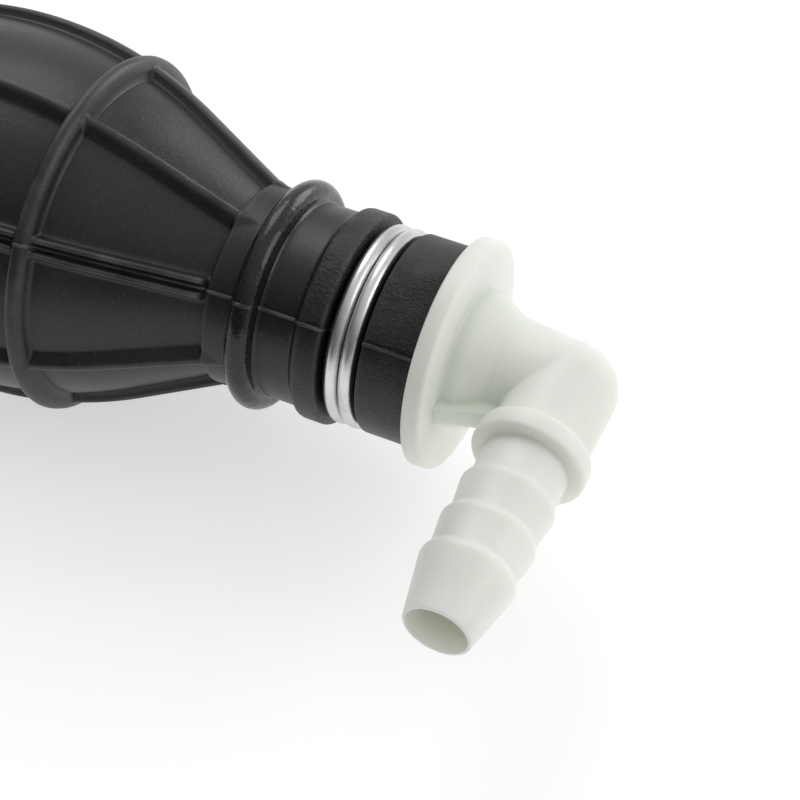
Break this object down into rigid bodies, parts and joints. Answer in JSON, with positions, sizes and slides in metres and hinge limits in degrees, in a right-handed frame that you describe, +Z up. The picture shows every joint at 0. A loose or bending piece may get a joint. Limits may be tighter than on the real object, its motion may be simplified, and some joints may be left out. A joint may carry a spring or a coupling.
{
  "type": "siphon bulb pump",
  "caption": "Ribbed rubber squeeze bulb with a one-way valve in each end, a straight barbed inlet and an elbow barbed outlet.",
  "frame": {"origin": "centre of the rubber bulb, on the flow axis", "axes": "+X along the flow, from the straight inlet to the outlet elbow; -Y along the outlet barb, towards its tip; +Z up"},
  "size_m": [0.172, 0.0578, 0.0458],
  "materials": {
    "rubber": "satin moulded rubber",
    "connector_plastic": "natural off-white moulded plastic",
    "zinc_wire": "bright zinc plate",
    "valve_plastic": "moulded plastic",
    "poppet_acetal": "smooth acetal",
    "seal_rubber": "smooth nitrile",
    "spring_steel": "drawn stainless wire"
  },
  "bodies": {
    "bulb_body": {"bulb": "rubber", "inlet_connector": "connector_plastic", "inlet_clamp_ring": "zinc_wire", "outlet_clamp_ring": "zinc_wire", "inlet_valve_seat": "valve_plastic", "inlet_valve_guide": "valve_plastic", "inlet_valve_spring": "spring_steel"},
    "elbow": {"outlet_elbow": "connector_plastic", "outlet_valve_seat": "valve_plastic", "outlet_valve_guide": "valve_plastic", "outlet_valve_spring": "spring_steel"},
    "inlet_poppet": {"inlet_valve_poppet": "poppet_acetal", "inlet_valve_seal": "seal_rubber"},
    "outlet_poppet": {"outlet_valve_poppet": "poppet_acetal", "outlet_valve_seal": "seal_rubber"},
    "grip_upper": {"bulb_grip_upper": "rubber"},
    "grip_lower": {"bulb_grip_lower": "rubber"}
  },
  "joints": [
    {"name": "squeeze_upper", "type": "slide", "parent": "bulb_body", "child": "grip_upper", "axis": [0, -0.6561, -0.7547], "range_m": [0, 0.005]},
    {"name": "squeeze_lower", "type": "slide", "parent": "bulb_body", "child": "grip_lower", "axis": [0, 0.6561, 0.7547], "range_m": [0, 0.005]},
    {"name": "inlet_valve_slide", "type": "slide", "parent": "bulb_body", "child": "inlet_poppet", "axis": [1, 0, 0], "range_m": [0, 0.002], "deforming": ["inlet_valve_spring"]},
    {"name": "outlet_valve_slide", "type": "slide", "parent": "elbow", "child": "outlet_poppet", "axis": [1, 0, 0], "range_m": [0, 0.002], "deforming": ["outlet_valve_spring"]},
    {"name": "elbow_swivel", "type": "hinge", "parent": "bulb_body", "child": "elbow", "pos_m": [0.058, 0, 0], "axis": [1, 0, 0], "continuous": true}
  ],
  "couplings": [
    {"joint": "squeeze_lower", "follows": "squeeze_upper", "ratio": 1}
  ]
}
